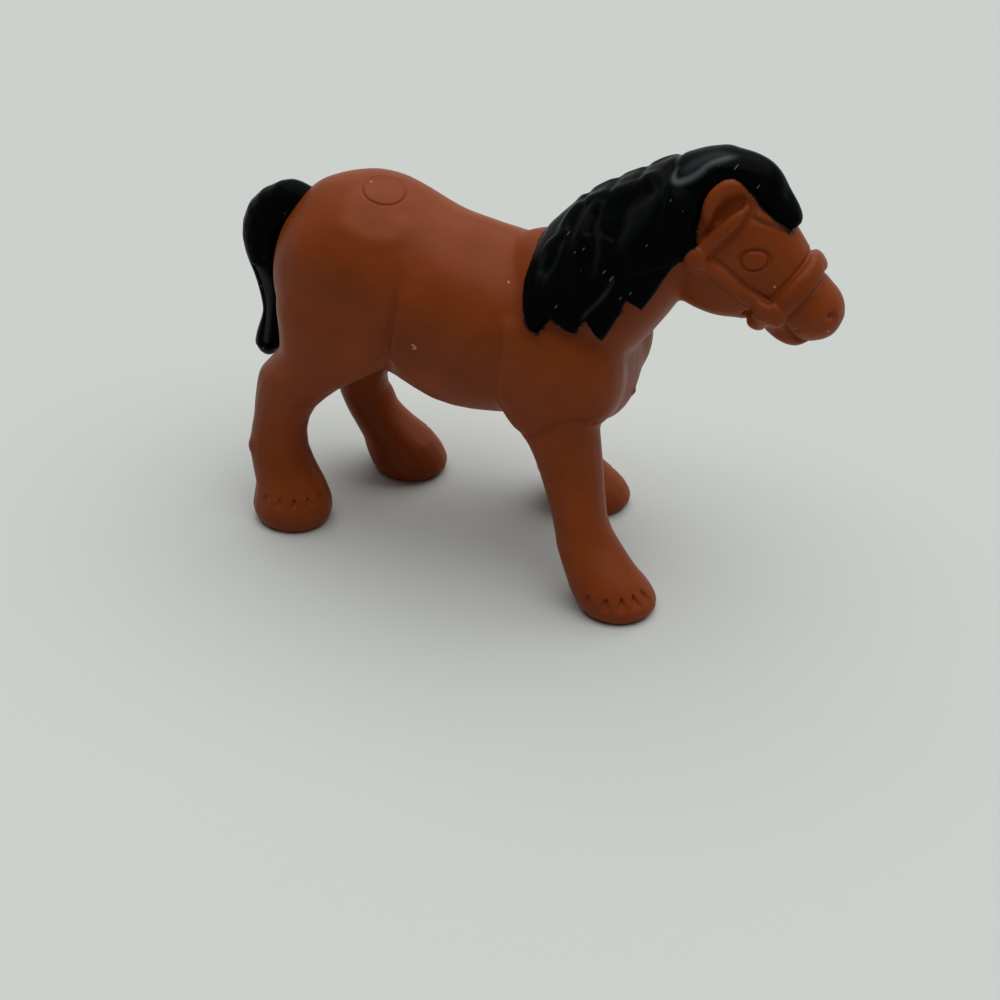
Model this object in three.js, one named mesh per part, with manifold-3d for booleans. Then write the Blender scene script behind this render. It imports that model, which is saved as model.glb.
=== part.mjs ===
// A toy farm horse about 60 mm long, standing in a walking pose. The body is moulded in brown plastic
// as two halves, hollow in the barrel, that close on the middle plane over locating pins. The mane
// with its forelock and the tail are black mouldings with pegs that the two halves grip.
//
// Millimetres. +X points to the head, +Y to the horse's left and +Z up. The hooves stand on Z = 0, and
// the origin is under the middle of the figure.
import * as THREE from "three";
import { mergeVertices } from "three/addons/utils/BufferGeometryUtils.js";
import Module from "manifold-3d";

const wasm = await Module();
wasm.setup();

// Driving sizes of the figure
const trunkLength = 37.5; // buttocks to breast
const backHeight = 32; // floor to the dip of the back
const barrelWidth = 17;
const neckLength = 22;
const neckDepth = 16;
const neckWidth = 14;
const headLength = 16;
const headDepth = 12.4;
const headWidth = 9;
const legThickness = 6;
const hoofLength = 8;
const hoofWidth = 7.4;
const hoofHeight = 4.6;
const earHeight = 7;
const earWidth = 5.2;

// Fit of the mouldings
const wall = 1.7;
const seatGap = 0.3; // between a black moulding and the body under it
const overrun = 4;

// Rings round each form, and steps along it
const trunkSides = 36;
const trunkSteps = 22;
const neckSides = 24;
const neckSteps = 11;
const headSides = 24;
const headSteps = 16;
const legSides = 16;
const legSteps = 20;
const shoulderSteps = 12;
const shortSteps = 10; // of an ear and of the lower lip
const roundSides = 16;

const vector = (x, y, z) => new THREE.Vector3(x, y, z);
const forward = vector(1, 0, 0);
const leftward = vector(0, 1, 0);
const upward = vector(0, 0, 1);

// Rows of numbers, such as a ring's place and half sizes, eased into `steps` rows that run through them
function eased(rows, steps) {
  const last = rows.length - 1;
  const row = (n) => rows[Math.min(Math.max(n, 0), last)];
  return Array.from({ length: steps }, (_, step) => {
    const place = (step / (steps - 1)) * last;
    const start = Math.min(Math.floor(place), last - 1);
    const part = place - start;
    return row(start).map((value, n) => {
      const rise = row(start + 1)[n] - value;
      const slopeIn = (row(start + 1)[n] - row(start - 1)[n]) / 2;
      const slopeOut = (row(start + 2)[n] - value) / 2;
      const bend = 3 * rise - 2 * slopeIn - slopeOut;
      return value + part * (slopeIn + part * (bend + part * (slopeIn + slopeOut - 2 * rise)));
    });
  });
}

// One ring of points round a middle. Its outline is an ellipse where `roundness` is 1, and fuller at the
// corners where that is less.
function ringPoints({ middle, across, up, wide, above, below, roundness = 1 }, sides) {
  const rounded = (value) => Math.sign(value) * Math.abs(value) ** roundness;
  return Array.from({ length: sides }, (_, side) => {
    const turn = (2 * Math.PI * side) / sides;
    const reach = rounded(Math.sin(turn)) * (Math.sin(turn) > 0 ? above : below);
    return middle
      .clone()
      .addScaledVector(across, rounded(Math.cos(turn)) * wide)
      .addScaledVector(up, reach);
  });
}

// The solid inside a closed skin over rings, each end closed onto its own middle
function loft(rings, sides) {
  const last = rings.length - 1;
  const points = [rings[0].middle, ...rings.flatMap((one) => ringPoints(one, sides)), rings[last].middle];
  const at = (row, side) => 1 + row * sides + (side % sides);
  const faces = [];
  for (let side = 0; side < sides; side++) {
    faces.push([0, at(0, side + 1), at(0, side)]);
    for (let row = 0; row < last; row++) {
      faces.push([at(row, side), at(row, side + 1), at(row + 1, side)]);
      faces.push([at(row + 1, side), at(row, side + 1), at(row + 1, side + 1)]);
    }
    faces.push([points.length - 1, at(last, side), at(last, side + 1)]);
  }
  let volume = 0;
  for (const [a, b, c] of faces) volume += points[a].dot(points[b].clone().cross(points[c]));
  if (volume < 0) faces.forEach((face) => face.reverse());
  return manifold(
    points.flatMap((point) => point.toArray()),
    faces.flat(),
  );
}

function manifold(positions, indices) {
  const mesh = new wasm.Mesh({
    numProp: 3,
    vertProperties: new Float32Array(positions),
    triVerts: new Uint32Array(indices),
  });
  return new wasm.Manifold(mesh);
}

// A three.js shape as a solid
function solidOf(shape) {
  shape.deleteAttribute("normal");
  shape.deleteAttribute("uv");
  const merged = mergeVertices(shape);
  return manifold(merged.attributes.position.array, merged.index.array);
}

const joined = (solids) => solids.reduce((all, solid) => all.add(solid));

// A ring that lies flat, for legs and ears
const flatRing = (x, y, z, halfLength, halfWidth, roundness) => ({
  middle: vector(x, y, z),
  across: forward,
  up: leftward,
  wide: halfLength,
  above: halfWidth,
  below: halfWidth,
  roundness,
});

// A form along a path in the middle plane, its rings square to the path. Rows give x, z, the reach
// above, the reach below and the half width. `grown` moves the whole skin out, or in where it is less
// than zero.
const thinnest = 0.5;
function formAlong(rows, grown, sides) {
  const kept = rows.filter(([, , above, , wide]) => above + grown > thinnest && wide + grown > thinnest);
  const rings = kept.map(([x, z, above, below, wide], n) => {
    const before = kept[Math.max(n - 1, 0)];
    const after = kept[Math.min(n + 1, kept.length - 1)];
    const along = vector(after[0] - before[0], 0, after[1] - before[1]).normalize();
    const spread = grown * ((2 * n) / (kept.length - 1) - 1);
    return {
      middle: vector(x, 0, z).addScaledVector(along, spread),
      across: leftward,
      up: vector(-along.z, 0, along.x),
      wide: wide + grown,
      above: above + grown,
      below: below + grown,
    };
  });
  return loft(rings, sides);
}

// The point on top of a form at a share of the way along its rows, raised by `rise`
function onTop(rows, along, rise) {
  const place = along * (rows.length - 1);
  const start = Math.floor(place);
  const [from, to] = [rows[start], rows[start + 1]];
  const [x, z, above] = from.map((value, n) => value + (place - start) * (to[n] - value));
  const up = vector(from[1] - to[1], 0, to[0] - from[0]).normalize();
  return vector(x, 0, z).addScaledVector(up, above + rise);
}

// A round bar between two points
function bar(from, to, radius) {
  const axis = to.clone().sub(from);
  const shape = new THREE.CylinderGeometry(radius, radius, axis.length(), roundSides);
  shape.applyQuaternion(new THREE.Quaternion().setFromUnitVectors(leftward, axis.clone().normalize()));
  const middle = from.clone().add(to).divideScalar(2);
  shape.translate(middle.x, middle.y, middle.z);
  return solidOf(shape);
}

// Trunk: shares of its length, of the back's height and of the barrel's width
const trunkShares = [
  // along, top, bottom, half width
  [0.012, 0.87, 0.72, 0.16],
  [0.03, 0.94, 0.65, 0.29],
  [0.08, 1.015, 0.6, 0.4],
  [0.16, 1.08, 0.565, 0.465],
  [0.26, 1.108, 0.53, 0.49],
  [0.36, 1.078, 0.49, 0.472],
  [0.44, 1.034, 0.443, 0.472],
  [0.53, 1.005, 0.432, 0.49],
  [0.63, 0.985, 0.448, 0.5],
  [0.74, 0.975, 0.472, 0.485],
  [0.85, 0.94, 0.47, 0.45],
  [0.915, 0.88, 0.49, 0.38],
  [0.945, 0.8, 0.53, 0.27],
  [0.957, 0.71, 0.57, 0.1],
];
const trunkX = (along) => along * trunkLength;
const trunkRows = eased(trunkShares, trunkSteps).map(([along, top, bottom, half]) => [
  trunkX(along),
  ((top + bottom) / 2) * backHeight,
  ((top - bottom) / 2) * backHeight,
  half * barrelWidth,
]);
function trunk(grown) {
  const kept = trunkRows.filter(([, , tall, wide]) => tall + grown > thinnest && wide + grown > thinnest);
  const rings = kept.map(([x, z, tall, wide], n) => ({
    middle: vector(x + grown * ((2 * n) / (kept.length - 1) - 1), 0, z),
    across: leftward,
    up: upward,
    wide: wide + grown,
    above: tall + grown,
    below: tall + grown,
  }));
  return loft(rings, trunkSides);
}

// Neck: its path starts between the shoulders and ends inside the head
const neckRootShare = 0.7; // of the trunk's length and of the back's height
const neckX = (ahead) => trunkX(neckRootShare) + ahead * neckLength;
const neckZ = (up) => neckRootShare * backHeight + up * neckLength;
const neckShares = [
  // ahead, up, reach above, reach below, half width
  [-0.06, -0.06, 0.2, 0.2, 0.2],
  [0.06, 0.05, 0.5, 0.44, 0.46],
  [0.2, 0.15, 0.53, 0.34, 0.5],
  [0.34, 0.29, 0.46, 0.325, 0.44],
  [0.46, 0.46, 0.38, 0.29, 0.36],
  [0.58, 0.62, 0.32, 0.28, 0.3],
  [0.68, 0.74, 0.245, 0.28, 0.26],
  [0.75, 0.8, 0.1, 0.1, 0.1],
];
const neckRows = eased(neckShares, neckSteps).map(([ahead, up, above, below, half]) => [
  neckX(ahead),
  neckZ(up),
  above * neckDepth,
  below * neckDepth,
  half * neckWidth,
]);
const neck = (grown) => formAlong(neckRows, grown, neckSides);

// Head: its path starts at the poll
const pollShares = [0.6, 0.69]; // ahead and up, in neck lengths
const headX = (ahead) => neckX(pollShares[0]) + ahead * headLength;
const headZ = (up) => neckZ(pollShares[1]) + up * headLength;
const headShares = [
  // ahead, up, reach above, reach below, half width
  [-0.028, 0.0625, 0.12, 0.12, 0.17],
  [0.047, 0.0125, 0.42, 0.42, 0.38],
  [0.172, -0.05, 0.52, 0.59, 0.456],
  [0.322, -0.1375, 0.525, 0.58, 0.49],
  [0.472, -0.231, 0.44, 0.455, 0.465],
  [0.616, -0.325, 0.35, 0.32, 0.4],
  [0.716, -0.381, 0.275, 0.262, 0.355],
  [0.816, -0.431, 0.235, 0.242, 0.335],
  [0.903, -0.475, 0.182, 0.194, 0.28],
  [0.96, -0.5, 0.075, 0.073, 0.13],
];
const headRows = eased(headShares, headSteps).map(([ahead, up, above, below, half]) => [
  headX(ahead),
  headZ(up),
  above * headDepth,
  below * headDepth,
  half * headWidth,
]);
const head = (grown) => formAlong(headRows, grown, headSides);

// Lower lip and chin, under the muzzle
const lipShares = [
  // ahead, up, reach above, reach below, half width
  [0.5, -0.45, 0.03, 0.03, 0.1],
  [0.56, -0.49, 0.1, 0.12, 0.21],
  [0.66, -0.545, 0.13, 0.15, 0.26],
  [0.76, -0.585, 0.11, 0.12, 0.24],
  [0.81, -0.6, 0.04, 0.04, 0.1],
];
function lowerLip() {
  const rows = eased(lipShares, shortSteps).map(([ahead, up, above, below, half]) => [
    headX(ahead),
    headZ(up),
    above * headDepth,
    below * headDepth,
    half * headWidth,
  ]);
  return formAlong(rows, 0, legSides);
}

// Ears: upright leaves with a hollow that faces out and a little to the front
const earTurn = Math.PI / 6;
const earPlaceShares = [0.31, 0.25, -0.055]; // ahead, out, up
const earHollowShare = 0.66; // of the ear's own section
const earHollowOutShare = 0.25; // of the ear's width
const earShares = [
  // height, half width, half thickness, lean out
  [0, 0.36, 0.24, 0],
  [0.25, 0.46, 0.27, 0.02],
  [0.5, 0.5, 0.27, 0.03],
  [0.72, 0.44, 0.22, 0.035],
  [0.88, 0.29, 0.15, 0.035],
  [0.98, 0.1, 0.07, 0.035],
];
function earLoft(side, size, moved, grown) {
  const out = vector(Math.sin(earTurn), side * Math.cos(earTurn), 0);
  const across = vector(Math.cos(earTurn), -side * Math.sin(earTurn), 0);
  const [aheadShare, outShare, upShare] = earPlaceShares;
  const rings = eased(earShares, shortSteps).map(([height, wide, thick, lean]) => ({
    middle: vector(headX(aheadShare), side * outShare * headWidth, headZ(upShare) + height * earHeight)
      .addScaledVector(leftward, side * lean * earWidth)
      .addScaledVector(out, moved),
    across,
    up: out,
    wide: wide * earWidth * size + grown,
    above: thick * earWidth * size + grown,
    below: thick * earWidth * size + grown,
  }));
  return loft(rings, legSides);
}
const ear = (side) =>
  earLoft(side, 1, 0, 0).subtract(earLoft(side, earHollowShare, earHollowOutShare * earWidth, 0));

// Bridle: straps and studs are slabs and discs cut from the head's own shape, moved out
const strapWidth = 1.1;
const nosebandWidth = 1.6;
const strapProud = 0.45;
const studProud = 0.8;
const rosetteRadius = 1.25;
const bitRadius = 1.05;
const eyeRadius = 1.15;
const eyeProud = 0.18;
function strap(fromShares, toShares, width, grown) {
  const from = vector(headX(fromShares[0]), 0, headZ(fromShares[1]));
  const to = vector(headX(toShares[0]), 0, headZ(toShares[1]));
  const axis = to.clone().sub(from);
  const slab = new THREE.BoxGeometry(axis.length() + 2 * grown, headWidth + overrun, width + 2 * grown);
  slab.rotateY(-Math.atan2(axis.z, axis.x));
  slab.translate((from.x + to.x) / 2, 0, (from.z + to.z) / 2);
  return solidOf(slab).intersect(head(strapProud + grown));
}
function stud(placeShares, radius, proud, grown) {
  const [x, z] = [headX(placeShares[0]), headZ(placeShares[1])];
  const reach = headWidth / 2 + overrun;
  return bar(vector(x, -reach, z), vector(x, reach, z), radius + grown).intersect(head(proud + grown));
}
const rosetteShares = [0.16, -0.1];
const bitShares = [0.6, -0.385];
const browShares = [0.52, 0.4];
const nosebandShares = [
  [0.455, -0.625],
  [0.965, 0.065],
];
const eyeShares = [0.5, -0.08];
const bridle = (grown) =>
  joined([
    strap(rosetteShares, browShares, strapWidth, grown),
    strap(rosetteShares, bitShares, strapWidth, grown),
    strap(nosebandShares[0], nosebandShares[1], nosebandWidth, grown),
    stud(rosetteShares, rosetteRadius, studProud, grown),
    stud(bitShares, bitRadius, studProud, grown),
  ]);

// Legs: flat rings from inside the trunk down to the hoof
const hindRightShares = [
  // height, along, out from the middle plane, half length, half width, roundness
  [1.0, 0.235, 0.18, 0.4, 0.2, 1],
  [0.95, 0.23, 0.2, 0.8, 0.42, 1],
  [0.86, 0.227, 0.24, 1.03, 0.62, 0.9],
  [0.75, 0.225, 0.25, 1.16, 0.74, 0.8],
  [0.64, 0.215, 0.255, 1.04, 0.74, 0.8],
  [0.56, 0.183, 0.265, 0.86, 0.69, 0.85],
  [0.5, 0.12, 0.275, 0.78, 0.63, 0.92],
  [0.44, 0.085, 0.29, 0.64, 0.57, 1],
  [0.38, 0.06, 0.305, 0.51, 0.51, 1],
  [0.32, 0.049, 0.325, 0.45, 0.48, 1],
  [0.25, 0.043, 0.345, 0.475, 0.48, 1],
  [0.18, 0.061, 0.365, 0.525, 0.5, 1],
];
const hindLeftShares = [
  [1.0, 0.235, 0.18, 0.4, 0.2, 1],
  [0.95, 0.23, 0.2, 0.8, 0.42, 1],
  [0.86, 0.227, 0.24, 1.03, 0.62, 0.9],
  [0.75, 0.225, 0.25, 1.16, 0.74, 0.8],
  [0.64, 0.216, 0.255, 1.05, 0.74, 0.8],
  [0.56, 0.19, 0.265, 0.89, 0.69, 0.85],
  [0.48, 0.164, 0.28, 0.78, 0.6, 0.95],
  [0.4, 0.151, 0.295, 0.51, 0.5, 1],
  [0.33, 0.145, 0.31, 0.36, 0.43, 1],
  [0.25, 0.154, 0.32, 0.335, 0.42, 1],
  [0.17, 0.205, 0.33, 0.48, 0.46, 1],
];
const frontRightShares = [
  [0.75, 0.79, 0.25, 0.4, 0.3, 1],
  [0.68, 0.795, 0.28, 0.64, 0.52, 1],
  [0.58, 0.804, 0.31, 0.65, 0.54, 1],
  [0.49, 0.82, 0.335, 0.61, 0.54, 1],
  [0.4, 0.846, 0.36, 0.53, 0.52, 1],
  [0.31, 0.872, 0.41, 0.465, 0.49, 1],
  [0.23, 0.897, 0.46, 0.44, 0.47, 1],
  [0.17, 0.928, 0.505, 0.53, 0.5, 1],
];
const frontLeftShares = [
  [0.75, 0.79, 0.25, 0.4, 0.3, 1],
  [0.68, 0.79, 0.28, 0.64, 0.52, 1],
  [0.58, 0.784, 0.31, 0.64, 0.54, 1],
  [0.49, 0.763, 0.335, 0.58, 0.54, 1],
  [0.4, 0.738, 0.36, 0.49, 0.5, 1],
  [0.31, 0.719, 0.37, 0.42, 0.45, 1],
  [0.23, 0.709, 0.38, 0.4, 0.43, 1],
  [0.17, 0.718, 0.39, 0.42, 0.45, 1],
];
const hoofShares = [
  // height, share of the lean taken, half length, half width, roundness
  [0.78, 1, 0.45, 0.44, 1],
  [0.42, 0.35, 0.5, 0.5, 1],
  [0.16, 0, 0.49, 0.49, 1],
  [0, 0, 0.42, 0.42, 1],
];

// Hooves: where each stands, and how far back its top leans
const hooves = {
  hindRight: { side: -1, alongShare: 0.09, outShare: 0.398, leanShare: 0 },
  hindLeft: { side: 1, alongShare: 0.29, outShare: 0.335, leanShare: 0.17 },
  frontRight: { side: -1, alongShare: 1.01, outShare: 0.55, leanShare: 0.2 },
  frontLeft: { side: 1, alongShare: 0.803, outShare: 0.395, leanShare: 0.3 },
};
function leg(legShares, { side, alongShare, outShare, leanShare }) {
  const legRows = legShares.map(([height, along, out, long, wide, roundness]) => [
    trunkX(along),
    side * out * barrelWidth,
    height * backHeight,
    long * legThickness,
    wide * legThickness,
    roundness,
  ]);
  const hoofRows = hoofShares.map(([height, leaning, long, wide, roundness]) => [
    trunkX(alongShare) - leaning * leanShare * hoofLength,
    side * outShare * barrelWidth,
    height * hoofHeight,
    long * hoofLength,
    wide * hoofWidth,
    roundness,
  ]);
  const rings = eased([...legRows, ...hoofRows], legSteps).map((row) => flatRing(...row));
  return loft(rings, legSides);
}

// Shoulders: masses that stand a little proud of the barrel and overhang the front legs
const shoulderShares = [
  // height, along, out, half length, half width, roundness
  [0.98, 0.75, 0.12, 0.4, 0.2, 1],
  [0.93, 0.752, 0.17, 0.8, 0.4, 0.9],
  [0.84, 0.762, 0.215, 1.06, 0.62, 0.85],
  [0.74, 0.772, 0.24, 1.16, 0.75, 0.82],
  [0.64, 0.778, 0.25, 1.16, 0.78, 0.82],
  [0.565, 0.789, 0.26, 0.95, 0.71, 0.85],
  [0.52, 0.784, 0.275, 0.67, 0.53, 0.95],
  [0.495, 0.8, 0.28, 0.24, 0.22, 1],
];
function shoulder(side, grown) {
  const rings = eased(shoulderShares, shoulderSteps).map(([height, along, out, long, wide, roundness]) =>
    flatRing(
      trunkX(along),
      side * out * barrelWidth,
      height * backHeight,
      long * legThickness + grown,
      wide * legThickness + grown,
      roundness,
    ),
  );
  return loft(rings, legSides);
}

// Everything that the mane lies on
const underMane = (grown) =>
  joined([
    trunk(grown),
    neck(grown),
    head(grown),
    shoulder(-1, grown),
    shoulder(1, grown),
    earLoft(-1, 1, 0, grown),
    earLoft(1, 1, 0, grown),
    bridle(grown),
  ]);

// Mane: a sheet over the neck, cut to its outline as seen from the side
const maneThickness = 1.2;
const maneShares = [
  // ahead, up
  [-0.002, 1.118],
  [0.011, 0.505],
  [0.016, 0.414],
  [0.03, 0.3],
  [0.07, 0.223],
  [0.1, 0.25],
  [0.134, 0.205],
  [0.18, 0.309],
  [0.261, 0.23],
  [0.307, 0.314],
  [0.375, 0.2],
  [0.47, 0.409],
  [0.511, 0.336],
  [0.589, 0.473],
  [0.602, 0.545],
  [0.67, 0.605],
  [0.72, 0.686],
  [0.702, 0.777],
  [0.707, 0.891],
  [0.743, 1.118],
];
function maneSheet() {
  const outline = new THREE.Shape(
    maneShares.map(([ahead, up]) => new THREE.Vector2(neckX(ahead), neckZ(up))),
  );
  const depth = barrelWidth + 2 * overrun;
  const block = new THREE.ExtrudeGeometry(outline, { depth, bevelEnabled: false });
  block.rotateX(Math.PI / 2);
  block.translate(0, depth / 2, 0);
  const over = joined([
    trunk(maneThickness),
    neck(maneThickness),
    shoulder(-1, maneThickness),
    shoulder(1, maneThickness),
  ]);
  return solidOf(block).intersect(over);
}

// Crest and forelock: one roll along the top of the neck and down over the forehead
const crestOnNeckShares = [
  // place along the neck, rise over its skin, reach above, reach below, half width
  [0.35, -0.062, 0.08, 0.088, 0.103],
  [0.45, -0.01, 0.101, 0.112, 0.141],
  [0.55, 0.019, 0.111, 0.121, 0.166],
  [0.65, 0.009, 0.109, 0.12, 0.182],
  [0.75, -0.009, 0.101, 0.12, 0.189],
  [0.85, 0.006, 0.099, 0.12, 0.191],
  [0.95, 0.065, 0.1, 0.12, 0.19],
];
const crestOnHeadShares = [
  [0.1, 0.153, 0.129, 0.155, 0.273],
  [0.233, 0.047, 0.129, 0.155, 0.216],
  [0.3, 0.019, 0.13, 0.156, 0.196],
  [0.367, 0.008, 0.12, 0.147, 0.197],
  [0.433, 0.007, 0.091, 0.104, 0.156],
  [0.45, 0, 0.04, 0.04, 0.08],
];
function crest() {
  const laidOn = (rows, shares, depth, width) =>
    shares.map(([along, rise, above, below, half]) => {
      const middle = onTop(rows, along, rise * depth);
      return [middle.x, middle.z, above * depth, below * depth, half * width];
    });
  const rows = [
    ...laidOn(neckRows, crestOnNeckShares, neckDepth, neckWidth),
    ...laidOn(headRows, crestOnHeadShares, headDepth, headWidth),
  ];
  return formAlong(eased(rows, legSteps), 0, legSides);
}

// Locks: tapering ridges that run down the sheet from the crest to the tips, alike on both sides
const lockSteps = 7;
const lockSides = 7;
const lockShares = [
  // each point: ahead, up, out from the middle plane, half width, half thickness
  [
    [0.09, 0.55, 0.08, 0.04, 0.04],
    [0.064, 0.47, 0.322, 0.085, 0.05],
    [0.064, 0.346, 0.486, 0.08, 0.045],
    [0.11, 0.225, 0.575, 0.02, 0.02],
  ],
  [
    [0.17, 0.64, 0.07, 0.04, 0.04],
    [0.125, 0.522, 0.275, 0.09, 0.055],
    [0.135, 0.381, 0.47, 0.09, 0.05],
    [0.245, 0.255, 0.55, 0.025, 0.025],
  ],
  [
    [0.27, 0.72, 0.07, 0.04, 0.04],
    [0.242, 0.616, 0.265, 0.095, 0.055],
    [0.245, 0.444, 0.451, 0.1, 0.055],
    [0.36, 0.235, 0.53, 0.025, 0.025],
  ],
  [
    [0.395, 0.79, 0.07, 0.04, 0.04],
    [0.359, 0.692, 0.275, 0.09, 0.055],
    [0.363, 0.509, 0.42, 0.09, 0.05],
    [0.4, 0.33, 0.48, 0.02, 0.02],
  ],
  [
    [0.5, 0.86, 0.07, 0.04, 0.04],
    [0.478, 0.768, 0.285, 0.09, 0.055],
    [0.474, 0.594, 0.395, 0.09, 0.05],
    [0.507, 0.4, 0.4, 0.035, 0.03],
  ],
  [
    [0.6, 0.92, 0.08, 0.04, 0.04],
    [0.604, 0.855, 0.265, 0.075, 0.05],
    [0.597, 0.701, 0.36, 0.08, 0.05],
    [0.6, 0.53, 0.36, 0.035, 0.03],
  ],
];
function lock(pointShares, side) {
  const rows = eased(pointShares, lockSteps).map(([ahead, up, out, wide, thick]) => ({
    middle: vector(neckX(ahead), side * out * neckWidth, neckZ(up)),
    wide: wide * neckWidth,
    thick: thick * neckWidth,
  }));
  const rings = rows.map(({ middle, wide, thick }, n) => {
    const before = rows[Math.max(n - 1, 0)].middle;
    const after = rows[Math.min(n + 1, rows.length - 1)].middle;
    const along = after.clone().sub(before).normalize();
    const across = along.clone().cross(fromNeck(middle)).normalize();
    return { middle, across, up: across.clone().cross(along), wide, above: thick, below: thick };
  });
  return loft(rings, lockSides);
}
// The way from the nearest point of the neck's path to a place on its side
function fromNeck(place) {
  const offsets = neckRows.map(([x, z]) => place.clone().sub(vector(x, 0, z)));
  return offsets.reduce((nearest, offset) => (offset.length() < nearest.length() ? offset : nearest));
}
const locks = joined(lockShares.flatMap((pointShares) => [lock(pointShares, -1), lock(pointShares, 1)]));

// Pegs of the black mouldings, and the holes that the two halves close round them
const pegRadius = 0.8;
const pegGap = 0.2;
function pegs(ends, gap) {
  const each = ends.map(([from, to]) => {
    const deeper = to.clone().sub(from).setLength(gap);
    return bar(from, to.clone().add(deeper), pegRadius + gap);
  });
  return joined(each);
}
const pegLength = 3.6; // inside the body
const pegRootShare = 0.6; // of the mane's thickness, above the neck
const pegPlaceShares = [0.52, 0.82]; // along the neck
const manePegEnds = pegPlaceShares.map((along) =>
  [pegRootShare * maneThickness, -pegLength].map((rise) => onTop(neckRows, along, rise)),
);
const tailPegShares = [
  // along, height: outer end and inner end
  [-0.01, 0.96],
  [0.1, 0.9],
];
const tailPegEnds = [tailPegShares.map(([along, height]) => vector(trunkX(along), 0, height * backHeight))];

// Tail
const tailThickness = 2;
const tailShares = [
  // along, height, reach out, reach in, half width
  [0.096, 0.9875, 0.8, 0.8, 0.8],
  [0.016, 0.975, 0.95, 0.95, 1.1],
  [-0.032, 0.931, 1.05, 1.05, 1.25],
  [-0.048, 0.8625, 1.05, 1.05, 1.3],
  [-0.044, 0.797, 0.9, 0.9, 1.25],
  [-0.035, 0.734, 0.7, 0.7, 1.1],
  [-0.027, 0.656, 0.58, 0.58, 0.95],
  [-0.027, 0.594, 0.52, 0.52, 0.85],
  [-0.038, 0.531, 0.6, 0.6, 0.85],
  [-0.045, 0.475, 0.68, 0.68, 0.85],
  [-0.046, 0.437, 0.3, 0.3, 0.35],
];
function tail() {
  const rows = eased(tailShares, legSteps).map(([along, height, above, below, half]) => [
    trunkX(along),
    height * backHeight,
    above * tailThickness,
    below * tailThickness,
    half * tailThickness,
  ]);
  return formAlong(rows, 0, legSides);
}

// Locating pins on the right half, and the sockets for them in the left half
const bossRadius = 2;
const pinRadius = 0.9;
const pinLength = 2.2;
const pinGap = 0.15;
const pinShares = [
  // along, height
  [0.22, 0.85],
  [0.82, 0.72],
];
const pinPlaces = pinShares.map(([along, height]) => [trunkX(along), height * backHeight]);
const headPinShares = [0.2, -0.1]; // ahead, up
const headPinPlace = [headX(headPinShares[0]), headZ(headPinShares[1])];
const acrossBar = ([x, z], fromY, toY, radius) => bar(vector(x, fromY, z), vector(x, toY, z), radius);
const bosses = joined([
  ...pinPlaces.map((place) => acrossBar(place, -barrelWidth / 2, barrelWidth / 2, bossRadius)),
  pegs(tailPegEnds, bossRadius - pegRadius), // round the end of the tail's peg
]).intersect(trunk(0));
const pins = joined(
  [...pinPlaces, headPinPlace].map((place) => acrossBar(place, -pinLength, pinLength, pinRadius)),
);
const sockets = joined(
  [...pinPlaces, headPinPlace].map((place) =>
    acrossBar(place, -overrun, pinLength + pinGap, pinRadius + pinGap),
  ),
);

// The body, hollow in the barrel, and its two halves
const body = joined([
  trunk(0),
  neck(0),
  head(0),
  lowerLip(),
  ear(-1),
  ear(1),
  bridle(0),
  stud(eyeShares, eyeRadius, eyeProud, 0),
  leg(hindRightShares, hooves.hindRight),
  leg(hindLeftShares, hooves.hindLeft),
  leg(frontRightShares, hooves.frontRight),
  leg(frontLeftShares, hooves.frontLeft),
  shoulder(-1, 0),
  shoulder(1, 0),
])
  .subtract(trunk(-wall))
  .add(bosses)
  .subtract(pegs(manePegEnds, pegGap))
  .subtract(pegs(tailPegEnds, pegGap));

const spaceShare = 4; // in trunk lengths, so that each half of the space holds the whole figure
function halfSpace(side) {
  const size = spaceShare * trunkLength;
  const block = new THREE.BoxGeometry(size, size, size);
  block.translate(0, (side * size) / 2, 0);
  return solidOf(block);
}
const rightHalf = body.intersect(halfSpace(-1)).add(pins);
const leftHalf = body.intersect(halfSpace(1)).subtract(sockets);

const mane = joined([maneSheet(), crest(), locks]).subtract(underMane(seatGap)).add(pegs(manePegEnds, 0));
const tailPiece = tail().subtract(trunk(seatGap)).add(pegs(tailPegEnds, 0));

// Materials, and a named mesh of each moulding
const brown = new THREE.MeshStandardMaterial({ color: "#9a4524", roughness: 0.4 });
const black = new THREE.MeshStandardMaterial({ color: "#0c0d0f", roughness: 0.2 });
function moulding(name, solid, material) {
  const { vertProperties, triVerts } = solid.getMesh();
  const geometry = new THREE.BufferGeometry();
  geometry.setAttribute("position", new THREE.BufferAttribute(vertProperties, 3));
  geometry.setIndex(new THREE.BufferAttribute(triVerts, 1));
  const mesh = new THREE.Mesh(geometry, material.clone());
  mesh.name = name;
  return mesh;
}

const figure = new THREE.Group();
figure.add(
  moulding("body_shell_right", rightHalf, brown),
  moulding("body_shell_left", leftHalf, brown),
  moulding("mane", mane, black),
  moulding("tail", tailPiece, black),
);

// The origin goes under the middle of the figure
const middle = new THREE.Box3().setFromObject(figure).getCenter(vector(0, 0, 0));
for (const mesh of figure.children) mesh.geometry.translate(-middle.x, -middle.y, 0);

export default figure;
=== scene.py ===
"""Looks of a small moulded toy horse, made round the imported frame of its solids.

The solids give every main form. Their merged copies get one fine skin each, the creases between the moulded
forms are softened, and the fine relief of bridle, eyes, mouth, hooves and hair is carved in.
A form is shaped in millimetres, and put in the scene in metres.
"""

import math

import bmesh
import bpy
import numpy as np
from mathutils import Matrix, Vector
from mathutils.bvhtree import BVHTree


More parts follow.
